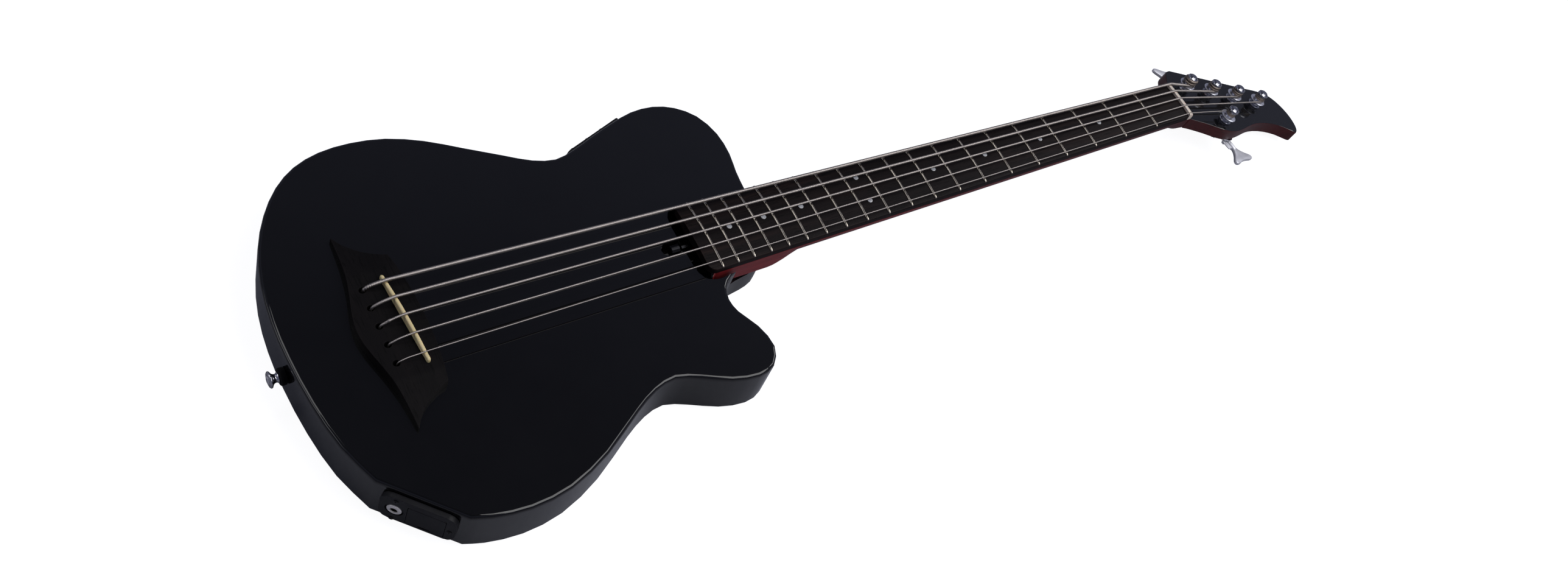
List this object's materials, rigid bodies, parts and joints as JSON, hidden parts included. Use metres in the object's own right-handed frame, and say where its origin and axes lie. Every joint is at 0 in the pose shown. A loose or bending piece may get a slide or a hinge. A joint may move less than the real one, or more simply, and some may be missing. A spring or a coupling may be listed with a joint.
{
  "type": "electro-acoustic bass guitar",
  "caption": "Thin-bodied cutaway electro-acoustic bass guitar with a fretted neck, tilted headstock, geared tuners, winged bridge, rim preamp and jack plate with battery door.",
  "frame": {"origin": "on the centreline of the flat back, under the scale end of the open strings (saddle end of the scale)", "axes": "+X along the neck from the saddle to the headstock, +Y to the thick-string side, +Z out of the top"},
  "size_m": [1.1636, 0.3663, 0.0719],
  "materials": {
    "gloss_black_wood": "high-gloss black lacquer",
    "red_mahogany": "satin dark red",
    "dark_rosewood": "oiled, open grain",
    "bridge_rosewood": "matt, oiled",
    "fret_nickel": "polished nickel silver",
    "bone": "polished bone",
    "rod_steel": "plain steel",
    "piezo_braid": "braided",
    "wound_steel": "round-wound",
    "chrome": "polished",
    "black_plastic": "satin",
    "battery_case": "satin, plain",
    "black_felt": "felt"
  },
  "bodies": {
    "instrument": {"body": "gloss_black_wood", "soundboard": "gloss_black_wood", "neck": "red_mahogany", "fingerboard": "dark_rosewood", "nut": "bone", "fret_01": "fret_nickel", "fret_02": "fret_nickel", "fret_03": "fret_nickel", "fret_04": "fret_nickel", "fret_05": "fret_nickel", "fret_06": "fret_nickel", "fret_07": "fret_nickel", "fret_08": "fret_nickel", "fret_09": "fret_nickel", "fret_10": "fret_nickel", "fret_11": "fret_nickel", "fret_12": "fret_nickel", "fret_13": "fret_nickel", "fret_14": "fret_nickel", "fret_15": "fret_nickel", "fret_16": "fret_nickel", "fret_17": "fret_nickel", "fret_18": "fret_nickel", "fret_19": "fret_nickel", "fret_20": "fret_nickel", "truss_rod": "rod_steel", "bridge": "bridge_rosewood", "saddle": "bone", "piezo_strip": "piezo_braid", "string_1": "wound_steel", "string_2": "wound_steel", "string_3": "wound_steel", "string_4": "wound_steel", "string_5": "wound_steel", "tuner_housing_1": "chrome", "tuner_housing_2": "chrome", "tuner_housing_3": "chrome", "tuner_housing_4": "chrome", "tuner_housing_5": "chrome", "jack_plate": "black_plastic", "output_jack": "chrome", "battery": "battery_case", "preamp": "black_plastic", "strap_button": "chrome", "felt_washer": "black_felt"},
    "post_1": {"tuner_post_1": "chrome"},
    "key_1": {"tuner_key_1": "chrome"},
    "post_2": {"tuner_post_2": "chrome"},
    "key_2": {"tuner_key_2": "chrome"},
    "post_3": {"tuner_post_3": "chrome"},
    "key_3": {"tuner_key_3": "chrome"},
    "post_4": {"tuner_post_4": "chrome"},
    "key_4": {"tuner_key_4": "chrome"},
    "post_5": {"tuner_post_5": "chrome"},
    "key_5": {"tuner_key_5": "chrome"},
    "control_1": {"knob_1": "black_plastic"},
    "control_2": {"knob_2": "black_plastic"},
    "control_3": {"knob_3": "black_plastic"},
    "door": {"battery_door": "black_plastic"},
    "rod_nut": {"truss_rod_nut": "chrome"}
  },
  "joints": [
    {"name": "key_1_turn", "type": "hinge", "parent": "instrument", "child": "key_1", "pos_m": [0.90296, 0.01628, 0.02225], "axis": [0.2844, 0.9568, -0.0604], "range_deg": [-360, 360]},
    {"name": "post_1_turn", "type": "hinge", "parent": "instrument", "child": "post_1", "pos_m": [0.89739, 0.0193, 0.04388], "axis": [0.2079, 0, 0.9781], "range_deg": [-18, 18]},
    {"name": "key_2_turn", "type": "hinge", "parent": "instrument", "child": "key_2", "pos_m": [0.93694, 0.00572, 0.01503], "axis": [0.2844, 0.9568, -0.0604], "range_deg": [-360, 360]},
    {"name": "post_2_turn", "type": "hinge", "parent": "instrument", "child": "post_2", "pos_m": [0.93136, 0.00875, 0.03666], "axis": [0.2079, 0, 0.9781], "range_deg": [-18, 18]},
    {"name": "key_3_turn", "type": "hinge", "parent": "instrument", "child": "key_3", "pos_m": [0.97091, -0.00483, 0.0078], "axis": [0.2844, 0.9568, -0.0604], "range_deg": [-360, 360]},
    {"name": "post_3_turn", "type": "hinge", "parent": "instrument", "child": "post_3", "pos_m": [0.96533, -0.0018, 0.02944], "axis": [0.2079, 0, 0.9781], "range_deg": [-18, 18]},
    {"name": "key_4_turn", "type": "hinge", "parent": "instrument", "child": "key_4", "pos_m": [1.00488, -0.01538, 0.00058], "axis": [0.2844, 0.9568, -0.0604], "range_deg": [-360, 360]},
    {"name": "post_4_turn", "type": "hinge", "parent": "instrument", "child": "post_4", "pos_m": [0.99931, -0.01236, 0.02221], "axis": [0.2079, 0, 0.9781], "range_deg": [-18, 18]},
    {"name": "key_5_turn", "type": "hinge", "parent": "instrument", "child": "key_5", "pos_m": [0.93187, -0.02765, 0.0161], "axis": [0.1361, -0.9903, -0.0289], "range_deg": [-360, 360]},
    {"name": "post_5_turn", "type": "hinge", "parent": "instrument", "child": "post_5", "pos_m": [0.92595, -0.0291, 0.03781], "axis": [0.2079, 0, 0.9781], "range_deg": [-18, 18]},
    {"name": "control_1_turn", "type": "hinge", "parent": "instrument", "child": "control_1", "pos_m": [0.21429, 0.13261, 0.024], "axis": [-0.3584, 0.9336, 0], "range_deg": [-140, 140]},
    {"name": "control_2_turn", "type": "hinge", "parent": "instrument", "child": "control_2", "pos_m": [0.23203, 0.13942, 0.024], "axis": [-0.3584, 0.9336, 0], "range_deg": [-140, 140]},
    {"name": "control_3_turn", "type": "hinge", "parent": "instrument", "child": "control_3", "pos_m": [0.24977, 0.14623, 0.024], "axis": [-0.3584, 0.9336, 0], "range_deg": [-140, 140]},
    {"name": "door_swing", "type": "hinge", "parent": "instrument", "child": "door", "pos_m": [-0.04886, -0.15501, 0.035], "axis": [-0.7071, 0.7071, 0], "range_deg": [0, 100]},
    {"name": "rod_nut_turn", "type": "hinge", "parent": "instrument", "child": "rod_nut", "pos_m": [0.244, 0, 0.0446], "axis": [1, 0, 0], "range_deg": [-90, 90]}
  ],
  "couplings": [
    {"joint": "post_1_turn", "follows": "key_1_turn", "ratio": 0.05},
    {"joint": "post_2_turn", "follows": "key_2_turn", "ratio": 0.05},
    {"joint": "post_3_turn", "follows": "key_3_turn", "ratio": 0.05},
    {"joint": "post_4_turn", "follows": "key_4_turn", "ratio": 0.05},
    {"joint": "post_5_turn", "follows": "key_5_turn", "ratio": -0.05}
  ]
}
